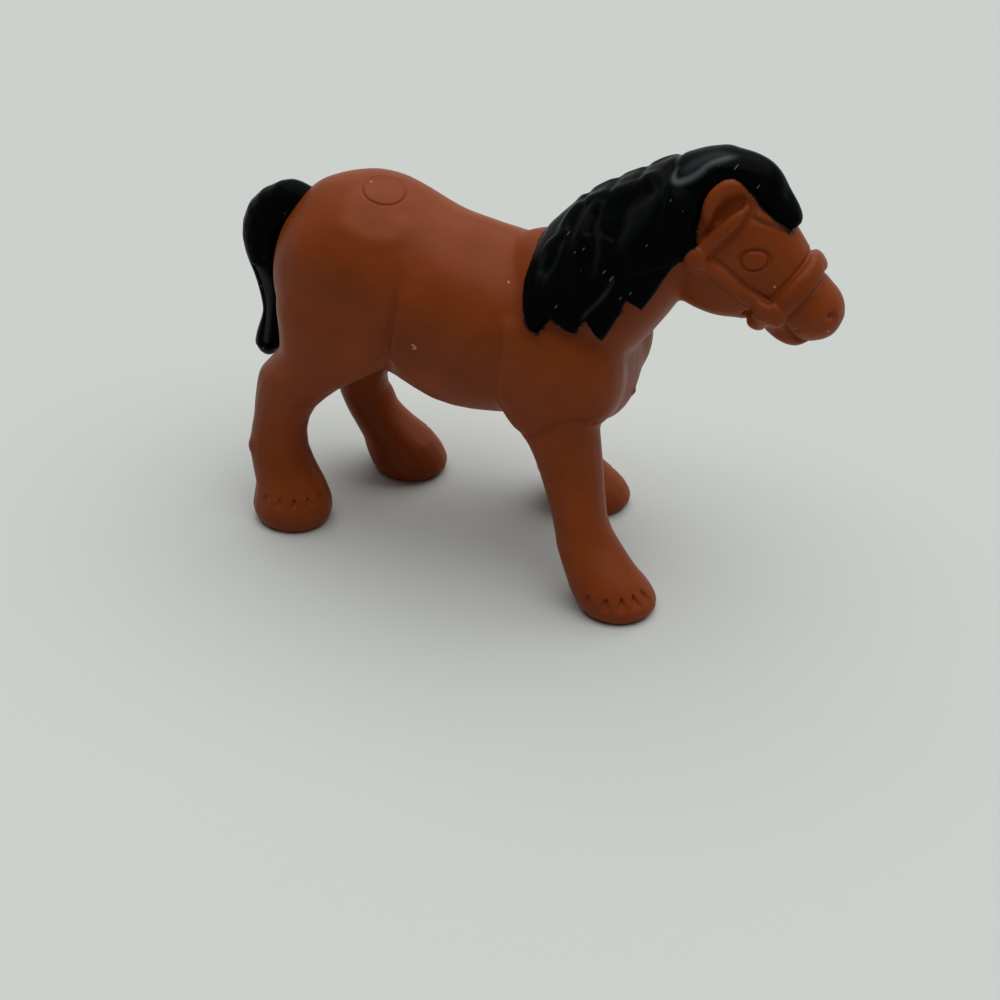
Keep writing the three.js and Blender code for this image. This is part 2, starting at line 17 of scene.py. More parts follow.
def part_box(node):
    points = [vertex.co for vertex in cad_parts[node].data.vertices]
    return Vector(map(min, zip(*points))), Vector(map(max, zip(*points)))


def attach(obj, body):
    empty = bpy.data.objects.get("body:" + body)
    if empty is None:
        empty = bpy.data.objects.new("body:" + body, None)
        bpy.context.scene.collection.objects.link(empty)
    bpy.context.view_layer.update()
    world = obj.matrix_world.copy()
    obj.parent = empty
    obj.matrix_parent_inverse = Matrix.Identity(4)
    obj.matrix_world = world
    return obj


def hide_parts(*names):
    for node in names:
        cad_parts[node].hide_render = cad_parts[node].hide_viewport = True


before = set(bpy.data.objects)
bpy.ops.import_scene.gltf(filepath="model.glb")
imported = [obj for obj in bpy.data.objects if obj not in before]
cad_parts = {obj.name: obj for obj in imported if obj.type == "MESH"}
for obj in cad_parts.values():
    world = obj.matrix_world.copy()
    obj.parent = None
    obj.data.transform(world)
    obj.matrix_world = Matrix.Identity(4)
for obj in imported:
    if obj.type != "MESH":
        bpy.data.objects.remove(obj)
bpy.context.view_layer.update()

# The body: two halves of satin chestnut plastic, moulded with their legs, ears and bridle, and closed for
# good on a plane along the middle of the horse. One skin is made round both, softened, carved and cut in two.


def skinned(name, nodes, voxel):
    """A new object with one fine skin, of voxels of that many millimetres, round a copy of the CAD nodes."""
    form = bmesh.new()
    for node in nodes:
        form.from_mesh(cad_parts[node].data)
    bmesh.ops.remove_doubles(form, verts=form.verts, dist=1e-6)
    mesh = bpy.data.meshes.new(name)
    form.to_mesh(mesh)
    form.free()
    piece = bpy.data.objects.new(name, mesh)
    bpy.context.scene.collection.objects.link(piece)
    remesh = piece.modifiers.new("skin", "REMESH")
    remesh.mode = "VOXEL"
    remesh.voxel_size = voxel / 1000
    applied(piece)
    keep_outer_skin(piece.data)
    return piece


def applied(piece):
    """Puts the result of the piece's modifiers in its mesh, and removes them."""
    view = bpy.context.evaluated_depsgraph_get()
    mesh = bpy.data.meshes.new_from_object(piece.evaluated_get(view))
    piece.modifiers.clear()
    piece.data = mesh


def keep_outer_skin(mesh):
    """Drops what the skin holds inside, such as the skin of the hollow barrel."""
    form = bmesh.new()
    form.from_mesh(mesh)
    unseen = set(form.verts)
    parts = []
    while unseen:
        part = {unseen.pop()}
        to_visit = list(part)
        while to_visit:
            vert = to_visit.pop()
            for edge in vert.link_edges:
                other = edge.other_vert(vert)
                if other in unseen:
                    unseen.discard(other)
                    part.add(other)
                    to_visit.append(other)
        parts.append(part)
    outer = max(parts, key=len)
    inner = [vert for part in parts if part is not outer for vert in part]
    bmesh.ops.delete(form, geom=inner, context="VERTS")
    form.to_mesh(mesh)
    form.free()


def places(mesh):
    """The vertices' places in millimetres, as rows of x, y, z."""
    flat = np.empty(len(mesh.vertices) * 3, np.float32)
    mesh.vertices.foreach_get("co", flat)
    return flat.reshape(-1, 3).astype(float) * 1000


def pushed_out(mesh, push):
    """Moves each vertex outwards by its own number of millimetres."""
    flat = np.empty(len(mesh.vertices) * 3, np.float32)
    mesh.vertex_normals.foreach_get("vector", flat)
    move_to(mesh, places(mesh) + flat.reshape(-1, 3).astype(float) * push[:, None])


def move_to(mesh, points):
    """Moves the vertices to these places in millimetres."""
    mesh.vertices.foreach_set("co", (points / 1000).astype(np.float32).ravel())
    mesh.update()


def soften(piece, rounds, weights=None):
    """Evens the skin out. The weights, one for each vertex from 0 to 1, say how much."""
    smooth = piece.modifiers.new("soften", "SMOOTH")
    smooth.factor = 0.5
    smooth.iterations = rounds
    if weights is not None:
        group = piece.vertex_groups.new(name="soft")
        for index, weight in enumerate(weights.tolist()):
            if weight > 0.01:
                group.add([index], weight, "REPLACE")
        smooth.vertex_group = group.name
    applied(piece)
    piece.vertex_groups.clear()


def fade(distance, inner, outer):
    """1 up to the inner distance, 0 from the outer one, and an even curve between."""
    share = np.clip((outer - distance) / (outer - inner), 0, 1)
    return share * share * (3 - 2 * share)


def rising(value, start, end):
    """0 up to the start, 1 from the end, and an even curve between."""
    return fade(-value, -end, -start)


def away_from(points, place):
    """Each point's distance from a place."""
    return np.linalg.norm(points - np.array(place), axis=1)


def mirrored(points):
    """The points with their distance from the middle plane in place of y."""
    return np.column_stack([points[:, 0], np.abs(points[:, 1] - seam_y), points[:, 2]])


body_voxel = 0.22
seam_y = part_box("body_shell_left")[0][1] * 1000
body = skinned("body", ["body_shell_right", "body_shell_left"], body_voxel)

# The moulding runs from form to form without an edge, most of all on trunk, back, face and breast. The ears,
# and the corners between belly and thighs, keep their shape.
belly_corner = (-12.2, 6.4, 19.7)
breast = (10.2, 3.6, 19.5)
ears = [(19, seam_y - 3.5, 41.5), (19, seam_y + 3.5, 41.5)]
soften(body, 16)
points = places(body.data)
above_legs = rising(points[:, 2], 15, 19)
on_head = rising(points[:, 0], 14, 17) * rising(points[:, 2], 26, 29)
at_corners = fade(away_from(mirrored(points), belly_corner), 1.5, 4.5)
soften(body, 45, above_legs * (1 - on_head) * (1 - at_corners))
points = places(body.data)
on_back = rising(points[:, 2], 29, 32) * fade(points[:, 0], 0, 4)
soften(body, 36, on_back)
points = places(body.data)
on_ears = sum(fade(away_from(points, ear), 2.6, 3.8) for ear in ears)
on_face = rising(points[:, 0], 16, 17.5) * rising(points[:, 2], 26, 27) * (1 - np.clip(on_ears, 0, 1))
soften(body, 40, on_face)
points = places(body.data)
on_breast = fade(away_from(mirrored(points), breast), 2.5, 4.5)
soften(body, 30, on_breast)

# The finest relief is the plain ring that the mould left on the rump, and the nicks in the fringe over each
# hoof, so the skin is made finer there and on the head.
ring_place = (-14.6, seam_y - 1.05, 35.1)
ring_radius = 2.05
ring_depth = 0.12
ring_half_width = 0.12
# Each hoof: the middle of its foot in x and y, the nicks' top in z, its way from the plane, the nicks' size.
hooves = [
    (-22.27, -5.45, 3.85, -1, 0.75), (12.18, -8.03, 2.85, -1, 1), (-14.94, 7.01, 3.85, 1, 0.75),
    (4.39, 8.03, 2.85, 1, 1),
]
hoof_radius = 3.3
hoof_reach = 6
nick_angles = {-1: (-28, 0, 27, 52, 77), 1: (-78, -52, -26, 2, 28)}
nick_half_width = 0.6
nick_height = 1.25
nick_depth = 0.44


def refine(mesh, wanted):
    """Splits each face, all of whose corners are wanted, in four."""
    form = bmesh.new()
    form.from_mesh(mesh)
    faces = [face for face in form.faces if all(wanted[vert.index] for vert in face.verts)]
    edges = list({edge for face in faces for edge in face.edges})
    bmesh.ops.subdivide_edges(form, edges=edges, cuts=1, use_grid_fill=True, smooth=1)
    bmesh.ops.triangulate(form, faces=[face for face in form.faces if len(face.verts) > 4])
    form.to_mesh(mesh)
    form.free()


def round_hoof(points, foot_x, foot_y, way):
    """The points' angle round a hoof, from outwards to forwards, and their distance from its middle."""
    ahead = points[:, 0] - foot_x
    outwards = (points[:, 1] - foot_y) * way
    return np.arctan2(ahead, outwards), np.hypot(ahead, outwards)


points = places(body.data)
finer = (points[:, 0] > 16) & (points[:, 2] > 27)
finer |= away_from(points, ring_place) < ring_radius + 0.5
for foot_x, foot_y, nick_top, way, _ in hooves:
    angle, away = round_hoof(points, foot_x, foot_y, way)
    finer |= (away < hoof_reach) & (np.abs(angle) < 1.7) & (np.abs(points[:, 2] - nick_top + 0.5) < 1.1)
refine(body.data, finer)
refine(body.data, np.abs(away_from(places(body.data), ring_place) - ring_radius) < 0.35)

# The relief is how far each point of the skin is pushed out. Its places are written as x, the distance from
# the middle plane, and z, for both sides or for the near side alone. Those written with the plane's own y,
# seam_y, and the far thigh are x, y and z.


def curve(path, steps=6):
    """A smooth line through the places of a path, with that many steps between two of them."""
    path = np.array(path, float)
    ends = np.vstack([2 * path[0] - path[1], path, 2 * path[-1] - path[-2]])
    line = []
    for before, start, end, after in zip(ends[:-3], ends[1:-2], ends[2:-1], ends[3:]):
        for share in np.arange(steps) / steps:
            bend = 2 * start + (end - before) * share
            bend += (2 * before - 5 * start + 4 * end - after) * share**2
            bend += (3 * start - before - 3 * end + after) * share**3
            line.append(bend / 2)
    return np.array(line + [path[-1]])


def gap_to(points, path):
    """Each point's distance from a smooth path, its side of it (1 on the left, seen from the near side, else
    -1), and how far along the path it is from the nearer end. What is outside the margin is out of reach."""
    margin = 8
    line = curve(path)
    lengths = np.linalg.norm(np.diff(line, axis=0), axis=1)
    passed = np.concatenate([[0], np.cumsum(lengths)])
    near = np.all((points > line.min(0) - margin) & (points < line.max(0) + margin), axis=1)
    close = points[near]
    nearest = np.full(len(close), 99.0)
    side = np.ones(len(close))
    inside = np.zeros(len(close))
    for start, end, before, length in zip(line[:-1], line[1:], passed, lengths):
        run = end - start
        share = np.clip((close - start) @ run / (run @ run), 0, 1)
        away = close - start - share[:, None] * run
        distance = np.linalg.norm(away, axis=1)
        closer = distance < nearest
        nearest[closer] = distance[closer]
        side[closer] = np.sign(run[0] * away[closer, 2] - run[2] * away[closer, 0])
        along = before + share[closer] * length
        inside[closer] = np.minimum(along, passed[-1] - along)
    result = np.full(len(points), 99.0), np.ones(len(points)), np.zeros(len(points))
    for whole, part in zip(result, (nearest, side, inside)):
        whole[near] = part
    return result


def valley(distance, half_width):
    """1 on a line, and nothing beyond about twice the half width."""
    return np.exp(-((distance / half_width) ** 2))


def dome(distance, radius):
    """The height of a round top, 1 in its middle and 0 from the radius on."""
    return np.sqrt(1 - np.clip(distance / radius, 0, 1) ** 2)


def bump(points, place, height, half_width):
    """A bump at a place, or a pit where the height is negative."""
    return height * valley(away_from(points, place), half_width)


def ridge(points, path, height, half_width):
    """A wide soft ridge along a path, or a hollow where the height is negative."""
    return height * valley(gap_to(points, path)[0], half_width)


def band(points, path, half_width, taper=0.4):
    """1 along a path, fading to both its sides, and over the taper to its ends."""
    distance, _, inside = gap_to(points, path)
    return rising(inside, 0, taper) * valley(distance, half_width)


def crease(points, path, depth, half_width, rise, reach, taper):
    """A groove along a path, with the skin to its left raised up to that reach. Both fade over the taper."""
    brink = 0.6
    distance, side, inside = gap_to(points, path)
    left = np.clip(0.5 + side * distance / brink, 0, 1)
    raised = rise * left * fade(distance, 0.2, reach)
    return rising(inside, 0, taper) * (raised - depth * valley(distance, half_width))


points = places(body.data)
sided = mirrored(points)
near_side = np.column_stack([points[:, 0], seam_y - points[:, 1], points[:, 2]])

# The bridle: round straps along a groove, with a rosette where two of them meet, and the bit's ring. The
# strap over the brow narrows at its top. The hollow of the ear ends at the straps.
brow_strap = [
    (17.1, 4.7, 37.1), (17.24, 4.57, 37.35), (18.28, 4.38, 38.53), (19.24, 3.96, 39.64), (19.93, 3.44, 40.42),
    (20.46, 2.75, 41.09),
]
cheek_strap = [
    (17.2, 5.1, 36.2), (18.58, 4.7, 35.21), (19.95, 4.75, 34.23), (21.24, 4.52, 33.24), (22.7, 4.25, 32.4),
]
noseband = [
    (24.37, 3.89, 32.27), (25.43, 3.44, 33.56), (26.24, 2.44, 34.63), (26.72, 1.06, 35.28), (26.75, 0, 35.5),
]
chin_strap = [(23.1, 4.0, 31.6), (22.4, 3.2, 30.6), (22.1, 2.0, 29.9), (22.0, 0, 29.6)]
strap_half_widths = (0.86, 0.74, 1.08, 1)
strap_height = 0.36
strap_rounding = 0.8
strap_groove_depth = 0.18
rosette_place = (16.58, 4.98, 36.36)
rosette_radius = 1.05
rosette_height = 0.25
bit_ring = [(22.9, 4.2, 32.1), (23.73, 4.32, 31.93), (24.3, 3.9, 31.3)]
bit_half_width = 0.85
bit_height = 0.3
ear_hollow = [(17.3, 4.2, 38.4), (18.1, 3.9, 39.5), (18.6, 3.4, 40.4), (19.3, 3.0, 41.2), (20.0, 2.7, 41.7)]
from_rosette = away_from(sided, rosette_place)
from_bit = gap_to(sided, bit_ring)[0]
from_strap = np.minimum(from_rosette - rosette_radius, from_bit - bit_half_width)
top_narrowing = 0.4
narrower = top_narrowing * fade(away_from(sided, brow_strap[-1]), 0.2, 1.8)
for path, half_width in zip((brow_strap, cheek_strap, noseband, chin_strap), strap_half_widths):
    from_strap = np.minimum(from_strap, gap_to(sided, path)[0] - half_width + narrower)
on_strap = dome(strap_rounding + from_strap, strap_rounding)
push = strap_height * on_strap - strap_groove_depth * valley(from_strap - 0.12, 0.25)
push += (1 - on_strap) * ridge(sided, ear_hollow, height=-0.48, half_width=0.8)
push += rosette_height * dome(from_rosette, rosette_radius)
push += bit_height * dome(from_bit, bit_half_width + 0.1)

# The face: the eye in its groove, the nostril, the mouth, and the soft forms of forehead, chin and jaw.
eye_place = (21.75, 4.05, 36.7)
eye_half_length = 1.28
eye_half_height = 0.94
eye_groove_depth = 0.32
eye_flattening = 0.04
eye_share = np.hypot(
    (sided[:, 0] - eye_place[0]) / eye_half_length, (sided[:, 2] - eye_place[2]) / eye_half_height
)
at_eye = fade(np.abs(sided[:, 1] - eye_place[1]), 1.2, 1.8)
push -= at_eye * (eye_groove_depth * valley(eye_share - 1, 0.15) + eye_flattening * fade(eye_share, 0.2, 1))
nostril = (28.78, 1.92, 31.4)
chin_hole = (21.2, 3.1, 30.8)
mouth_corner = (25.91, 2.78, 29.78)
mouth = [(24.52, 3.07, 30.68), (25.1, 2.47, 29.45), (25.74, 2.18, 28.55), (26.5, 1.4, 28.2), (26.8, 0, 28.15)]
mouth_depth = 0.4
forehead = [
    (20.86, 2.61, 40.26), (21.75, 2.49, 39.89), (22.57, 2.12, 39.51), (23.22, 1.63, 39.19), (24.3, 0.4, 38.3),
]
chin = (22.1, 2.7, 30.2)
jaw = (18.2, 2.5, 30.2)
push += bump(sided, nostril, height=-0.55, half_width=0.42)
push += bump(sided, chin_hole, height=-0.5, half_width=0.32)
push += bump(sided, mouth_corner, height=-0.25, half_width=0.2)
push -= mouth_depth * band(sided, mouth, half_width=0.2)
push += crease(sided, forehead, depth=0.26, half_width=0.2, rise=0.18, reach=1.5, taper=0.4)
push += bump(sided, chin, height=0.3, half_width=1.1)
push += bump(sided, jaw, height=0.4, half_width=2.4)

# The trunk: the creases where the legs join it, the soft swells of back and rump, and the parting line of the
# two halves, a faint groove with a burr on the breast.
flank = [
    (-10.9, 6.9, 29.6), (-10.88, 7.54, 27.59), (-11.12, 7.96, 25.08), (-11.57, 7.87, 22.76),
    (-11.9, 7.3, 20.8),
]
shoulder = [
    (-1.0, 7.2, 28.2), (-0.66, 7.49, 26.83), (0, 8.15, 25), (-0.26, 8.41, 22.93), (-0.82, 8.12, 20.57),
    (-0.4, 8.2, 19.4), (0.1, 8.2, 18.4),
]
leg_top = [
    (2.2, 7.9, 16.3), (3.75, 8.56, 17.07), (4.9, 8.57, 18.12), (6.06, 8.61, 18.97), (7.55, 8.16, 19.05),
    (9.1, 6.6, 18.2),
]
crotch = [(-12.7, 4.0, 17.6), (-12.3, 5.6, 18.6), (-12.0, 6.6, 19.7), (-11.8, 7.3, 21.0)]
back = [(-5, 0, 31.9), (-3.5, 0, 31.5), (-2.3, 0, 31.3), (-0.8, 0, 31.2)]
hip = [
    (-16.69, 5.59, 32.94), (-15.06, 5.95, 32.42), (-13.66, 5.71, 32.27), (-12.0, 4.92, 32.41),
    (-11.64, 3.83, 33.08),
]
loin = [(-11.9, 2.6, 33.7), (-10.6, 4.6, 32.3), (-9.6, 6.0, 30.8)]
rump = (-21.6, 0.4, 33.3)
burr = (10.2, 0, 18.1)
crotch_depth = 0.3
loin_swell = 0.2
parting_depth = 0.03
push += crease(sided, flank, depth=0.42, half_width=0.36, rise=0.45, reach=2.8, taper=2.5)
push += crease(sided, shoulder, depth=0.2, half_width=0.4, rise=0.42, reach=2.6, taper=2)
push += crease(sided, leg_top, depth=0.27, half_width=0.32, rise=0.12, reach=2, taper=0.9)
push -= crotch_depth * band(near_side, crotch, half_width=0.5, taper=1.2)
push += loin_swell * rising(points[:, 2], 24, 32) * fade(points[:, 0], 0, 6)
push += ridge(sided, back, height=0.65, half_width=2.8)
push += ridge(near_side, hip, height=0.16, half_width=1)
push += ridge(near_side, loin, height=-0.14, half_width=1.1)
push += bump(sided, rump, height=0.35, half_width=2.4)
push -= parting_depth * valley(sided[:, 1], 0.15)
push += bump(sided, burr, height=0.25, half_width=0.4)

# The legs: the near elbow, the edge down its leg, the full thigh of the far side, and the spurs behind.
elbow = (1.6, 8, 16.8)
leg_edge = [
    (3.48, 8.57, 16.01), (4.05, 8.75, 15.37), (4.62, 8.89, 14.47), (5.08, 9.02, 13.55), (5.45, 9.14, 12.59),
]
far_thigh = [(-17.3, 6.3, 12.2), (-17.8, 6.9, 10.2), (-18, 7.4, 8.2)]
leg_edge_height = 0.25
spurs = [(-26.6, seam_y - 7.8, 7.9), (-21.6, seam_y + 7.2, 7.9)]
push += bump(near_side, elbow, height=0.62, half_width=1.6)
push += leg_edge_height * band(near_side, leg_edge, half_width=0.25, taper=1.2)
push += ridge(points, far_thigh, height=0.9, half_width=2.1)
for spur in spurs:
    push += bump(points, spur, height=0.35, half_width=0.7)

# The ring and the nicks. A nick is a wedge, narrow at its top, that ends in an edge at its foot.
push -= ring_depth * valley(away_from(points, ring_place) - ring_radius, ring_half_width)
for foot_x, foot_y, nick_top, way, size in hooves:
    angle, away = round_hoof(points, foot_x, foot_y, way)
    below = (nick_top - points[:, 2]) / (nick_height * size)
    half_width = nick_half_width * size * np.clip(0.2 + below, 0.05, 1)
    in_fringe = np.clip(1 - below, 0, 1) * rising(below, -0.15, 0) * (away < hoof_reach)
    for nick_angle in nick_angles[way]:
        across = np.abs(angle - math.radians(nick_angle)) * hoof_radius
        push -= nick_depth * size * in_fringe * fade(across, half_width * 0.4, half_width * 1.4)
pushed_out(body.data, push)

# The relief of the head, and the corner between belly and near thigh, are evened out a little.
head = (22, seam_y, 35)
near_belly_corner = (-12, seam_y - 6.4, 19.5)
points = places(body.data)
near_corner = fade(away_from(points, near_belly_corner), 1, 2.4)
soften(body, 2, fade(away_from(points, head), 9, 11))
soften(body, 12, near_corner)


def half_of(piece, name, way):
    """The closed half of the piece on one side of the middle plane, as an object of its own."""
    form = bmesh.new()
    form.from_mesh(piece.data)
    whole = form.verts[:] + form.edges[:] + form.faces[:]
    cut = bmesh.ops.bisect_plane(
        form, geom=whole, dist=1e-7, plane_co=(0, seam_y / 1000, 0), plane_no=(0, way, 0), clear_inner=True
    )
    rim = [edge for edge in cut["geom_cut"] if isinstance(edge, bmesh.types.BMEdge)]
    rim = [edge for edge in rim if edge.is_boundary]
    for face in form.faces:
        face.smooth = True
    cap = bmesh.ops.triangle_fill(form, edges=rim, use_beauty=True)
    for face in cap["geom"]:
        if isinstance(face, bmesh.types.BMFace):
            face.smooth = False
    for edge in rim:
        edge.smooth = False
    bmesh.ops.recalc_face_normals(form, faces=form.faces)
    mesh = bpy.data.meshes.new(name)
    form.to_mesh(mesh)
    form.free()
    half = bpy.data.objects.new(name, mesh)
    bpy.context.scene.collection.objects.link(half)
    return half


def linear(colour):
    """A colour written as sRGB hex, as the shader's linear values."""
    shares = [int(colour[start : start + 2], 16) / 255 for start in (1, 3, 5)]
    return [share / 12.92 if share <= 0.04045 else ((share + 0.055) / 1.055) ** 2.4 for share in shares] + [1]


def add_node(owner, kind, inputs=(), **settings):
    """Adds a shader node with these settings to a material or the world, and gives each named input a value
    or the socket it is fed from."""
    tree = owner.node_tree
    node = tree.nodes.new(kind)
    for name, value in settings.items():
        setattr(node, name, value)
    for name, value in dict(inputs).items():
        if isinstance(value, bpy.types.NodeSocket):
            tree.links.new(value, node.inputs[name])
        else:
            node.inputs[name].default_value = value
    return node


def chestnut_plastic(chips):
    """Satin moulded plastic, chestnut all through, a little cloudy and unevenly rubbed. It has the faint
    grain of the mould, rare specks of dust, pale chips at these places, and black overspray by the hair."""
    material = bpy.data.materials.new("satin_chestnut_plastic")
    material.use_nodes = True
    links = material.node_tree.links
    shader = material.node_tree.nodes["Principled BSDF"]
    place = add_node(material, "ShaderNodeTexCoord").outputs["Object"]
    cloud_mm = 5
    cloud = add_node(material, "ShaderNodeTexNoise", {"Vector": place, "Scale": 1000 / cloud_mm, "Detail": 3})
    tint = add_node(material, "ShaderNodeValToRGB", {"Fac": cloud.outputs["Fac"]})
    tint.color_ramp.elements[0].position = 0.3
    tint.color_ramp.elements[0].color = linear("#79330a")
    tint.color_ramp.elements[1].position = 0.7
    tint.color_ramp.elements[1].color = linear("#873b10")
    # Very few cells of this width hold a speck of dust. Its radius is a small share of the cell.
    dust_mm = 2.2
    dust = add_node(material, "ShaderNodeTexVoronoi", {"Vector": place, "Scale": 1000 / dust_mm})
    rare = add_node(material, "ShaderNodeMath", {0: dust.outputs["Color"], 1: 0.93}, operation="GREATER_THAN")
    small = add_node(
        material, "ShaderNodeMath", {0: dust.outputs["Distance"], 1: 0.035}, operation="LESS_THAN"
    )
    speck = add_node(
        material, "ShaderNodeMath", {0: rare.outputs[0], 1: small.outputs[0]}, operation="MULTIPLY"
    )
    dusty = add_node(
        material, "ShaderNodeMix",
        {"Factor": speck.outputs[0], "A": tint.outputs["Color"], "B": linear("#b08468")}, data_type="RGBA",
    )
    # The chips have ragged edges, of a grain of this width.
    nearest = 1
    for chip in chips:
        away = add_node(material, "ShaderNodeVectorMath", {0: place, 1: chip}, operation="DISTANCE")
        nearest = add_node(
            material, "ShaderNodeMath", {0: nearest, 1: away.outputs["Value"]}, operation="MINIMUM"
        ).outputs[0]
    ragged_mm = 0.15
    chip_mm = 0.22
    ragged = add_node(material, "ShaderNodeTexNoise", {"Vector": place, "Scale": 1000 / ragged_mm})
    chip_size = add_node(
        material, "ShaderNodeMath", {0: ragged.outputs["Fac"], 1: chip_mm / 1000}, operation="MULTIPLY"
    )
    chipped_off = add_node(
        material, "ShaderNodeMath", {0: nearest, 1: chip_size.outputs[0]}, operation="LESS_THAN"
    )
    chipped = add_node(
        material, "ShaderNodeMix",
        {"Factor": chipped_off.outputs[0], "A": dusty.outputs["Result"], "B": linear("#b98f74")},
        data_type="RGBA",
    )
    # Dots of spray are finer on the real one, and are drawn this coarse to show.
    speckle_mm = 0.25
    spray = add_node(material, "ShaderNodeAttribute", attribute_name="overspray")
    speckle = add_node(
        material, "ShaderNodeTexNoise", {"Vector": place, "Scale": 1000 / speckle_mm, "Detail": 2}
    )
    sparse = add_node(
        material, "ShaderNodeMath", {0: speckle.outputs["Fac"], 1: 2, 2: -0.5}, operation="MULTIPLY_ADD"
    )
    spotty = add_node(
        material, "ShaderNodeMath", {0: spray.outputs["Fac"], 1: 1.3, 2: sparse.outputs[0]},
        operation="MULTIPLY_ADD",
    )
    patchy = add_node(
        material, "ShaderNodeMath", {0: spotty.outputs[0], 1: 3, 2: -3},
        operation="MULTIPLY_ADD", use_clamp=True,
    )
    painted = add_node(
        material, "ShaderNodeMix",
        {"Factor": patchy.outputs[0], "A": chipped.outputs["Result"], "B": linear("#130a06")},
        data_type="RGBA",
    )
    links.new(painted.outputs["Result"], shader.inputs["Base Color"])
    handled_mm = 1.4
    handled = add_node(
        material, "ShaderNodeTexNoise", {"Vector": place, "Scale": 1000 / handled_mm, "Detail": 4}
    )
    sheen = add_node(
        material, "ShaderNodeMapRange", {"Value": handled.outputs["Fac"], "To Min": 0.36, "To Max": 0.5}
    )
    links.new(sheen.outputs["Result"], shader.inputs["Roughness"])
    # The grain of a satin mould is finer, and is drawn this coarse to show.
    grain_mm = 0.18
    grain_height_mm = 0.02
    grain = add_node(material, "ShaderNodeTexNoise", {"Vector": place, "Scale": 1000 / grain_mm, "Detail": 2})
    relief = add_node(
        material, "ShaderNodeBump",
        {"Height": grain.outputs["Fac"], "Strength": 0.25, "Distance": grain_height_mm / 1000},
    )
    links.new(relief.outputs["Normal"], shader.inputs["Normal"])
    # The plastic mirrors little, as it does in the dim room of the photograph.
    shader.inputs["Specular IOR Level"].default_value = 0.14
    return material


body_tree = BVHTree.FromObject(body, bpy.context.evaluated_depsgraph_get())
right_half = half_of(body, "body_skin_right", -1)
left_half = half_of(body, "body_skin_left", 1)
bpy.data.objects.remove(body)
# The last five lie so near each other that they make one chip, bent like a tick.
chip_places = [
    (23.67, -2.26, 34.3), (28.61, -0.78, 29.93), (-16.06, 0.69, 35.28), (-0.87, -3.35, 30),
    (-9.07, -6.71, 23.43), (-8.91, -6.71, 23.34), (-8.74, -6.72, 23.25), (-8.84, -6.7, 23.12),
    (-8.95, -6.68, 22.98),
]
chestnut = chestnut_plastic([body_tree.find_nearest(Vector(place) / 1000)[0] for place in chip_places])
for half, node in ((right_half, "body_shell_right"), (left_half, "body_shell_left")):
    half.data.materials.append(chestnut)
    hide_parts(node)
    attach(half, "root")

# The mane: one glossy black moulding over the neck and between the ears, in flowing locks. Two pegs under it
# are held by the closed halves of the body, and a little black spray lies on the brown round its edge.


def over_body(points, reach):
    """Each point's height over the body, up to the reach, and the way down to it."""
    height = np.full(len(points), float(reach))
    down = np.zeros((len(points), 3))
    for index, point in enumerate(points):
        hit, normal, _, distance = body_tree.find_nearest(Vector(point / 1000), reach / 1000)
        if hit is not None and distance > 0:
            way = np.array(hit) * 1000 - point
            down[index] = way / np.linalg.norm(way)
            height[index] = distance * 1000 if way @ np.array(normal) < 0 else 0
    return height, down


def pressed_on(piece, gap):
    """Lowers the skin near the body by the gap under the piece, so that its edge sinks in the body."""
    points = places(piece.data)
    reach = gap * 3.2
    height, down = over_body(points, reach)
    drop = gap * fade(height, gap, reach) * (height > 0)
    move_to(piece.data, points + down * drop[:, None])


def close_slits(piece, reach, voxel):
    """Fills the slits narrower than twice the reach: swells the skin, makes it anew and shrinks it back."""
    for step, way in (("swell", reach), ("shrink", -reach)):
        move = piece.modifiers.new(step, "DISPLACE")
        move.mid_level = 0
        move.strength = way / 1000
        if step == "swell":
            remesh = piece.modifiers.new("skin", "REMESH")
            remesh.mode = "VOXEL"
            remesh.voxel_size = voxel / 1000
    applied(piece)
    keep_outer_skin(piece.data)


def evened(mesh, values, rounds):
    """The vertices' values, evened out with their neighbours' that many times."""
    ends = np.empty(len(mesh.edges) * 2, np.int32)
    mesh.edges.foreach_get("vertices", ends)
    first, second = ends.reshape(-1, 2).T
    count = np.bincount(ends, minlength=len(values))
    for _ in range(rounds):
        around = np.bincount(first, values[second], len(values))
        around += np.bincount(second, values[first], len(values))
        values = (values + around / count) / 2
    return values


def keep_wear_and_highlight(mesh, wear_and_highlight):
    """Gives the mesh an attribute that says where its ridges are painted lighter, from 0 to 1: a painted
    highlight along them, and some rubbed wear.
    """
    mesh.attributes.new("wear_and_highlight", "FLOAT", "POINT").data.foreach_set("value", wear_and_highlight.astype(np.float32))


